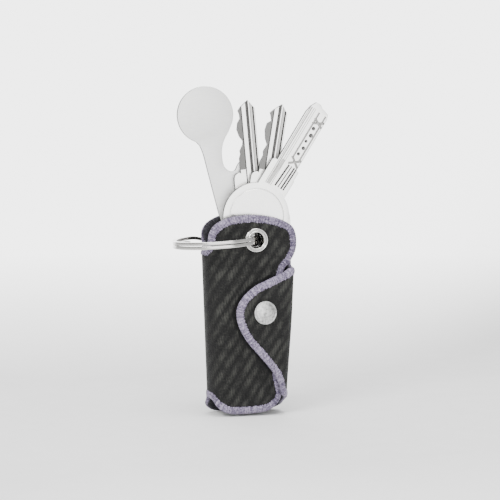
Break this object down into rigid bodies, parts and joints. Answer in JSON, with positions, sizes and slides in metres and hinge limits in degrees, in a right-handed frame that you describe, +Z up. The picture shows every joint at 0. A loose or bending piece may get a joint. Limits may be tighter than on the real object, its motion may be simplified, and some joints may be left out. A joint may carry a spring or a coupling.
{
  "type": "key organiser",
  "caption": "Folded leather key case with a snap flap and overcast edges; a split ring through two eyelets holds keys and a trolley token that fan out of the top.",
  "frame": {"origin": "middle of the whole object's box in X and Y, at the case's bottom edge", "axes": "+Z up the case towards the keys, -Y the front with the snap, +X towards the side that the flap folds round"},
  "size_m": [0.0636, 0.035, 0.1338],
  "materials": {
    "leather": "charcoal leather embossed with a twill pattern",
    "lining": "matt black",
    "thread": "lavender-grey overcast thread",
    "nickel": "bright nickel plate",
    "key_steel": "nickel-plated, lightly brushed",
    "token_steel": "satin stamped steel"
  },
  "bodies": {
    "back": {"back_cover": "leather", "back_lining": "lining", "side_wall": "leather", "side_lining": "lining", "back_top_stitching": "thread", "back_bottom_stitching": "thread", "back_eyelet": "nickel"},
    "front_cover": {"front_cover": "leather", "front_lining": "lining", "front_edge_stitching": "thread", "front_eyelet": "nickel", "snap_stud": "nickel"},
    "flap": {"closure_flap": "leather", "flap_lining": "lining", "flap_edge_stitching": "thread", "snap_cap": "nickel", "snap_socket": "nickel"},
    "ring": {"split_ring": "nickel"},
    "key_1": {"key_1": "key_steel"},
    "key_2": {"key_2": "key_steel"},
    "key_3": {"key_3": "key_steel"},
    "trolley_token": {"trolley_token": "token_steel"}
  },
  "joints": [
    {"name": "flap_fold", "type": "hinge", "parent": "back", "child": "flap", "pos_m": [0.01606, -0.00801, 0.06], "axis": [0.0385, 0, 0.9993], "range_deg": [0, 150]},
    {"name": "front_cover_fold", "type": "hinge", "parent": "back", "child": "front_cover", "pos_m": [-0.0152, 0, 0.04], "axis": [0, 0, -1], "range_deg": [0, 8.1]},
    {"name": "ring_swing", "type": "hinge", "parent": "back", "child": "ring", "pos_m": [0.0005, 0, 0.0719], "axis": [0, 1, 0], "range_deg": [-42, 22]},
    {"name": "key_1_swing", "type": "hinge", "parent": "back", "child": "key_1", "pos_m": [0.0022, 0.00225, 0.0719], "axis": [0, 1, 0], "range_deg": [-70, 91]},
    {"name": "key_2_swing", "type": "hinge", "parent": "back", "child": "key_2", "pos_m": [0.0022, -0.00005, 0.0719], "axis": [0, 1, 0], "range_deg": [-80, 79]},
    {"name": "key_3_swing", "type": "hinge", "parent": "back", "child": "key_3", "pos_m": [0.0022, -0.00245, 0.0719], "axis": [0, 1, 0], "range_deg": [-58, 75]},
    {"name": "trolley_token_swing", "type": "hinge", "parent": "back", "child": "trolley_token", "pos_m": [0.0022, 0.00445, 0.0719], "axis": [0, 1, 0], "range_deg": [-38, 99]}
  ],
  "couplings": [
    {"joint": "front_cover_fold", "follows": "flap_fold", "ratio": 0.054}
  ]
}
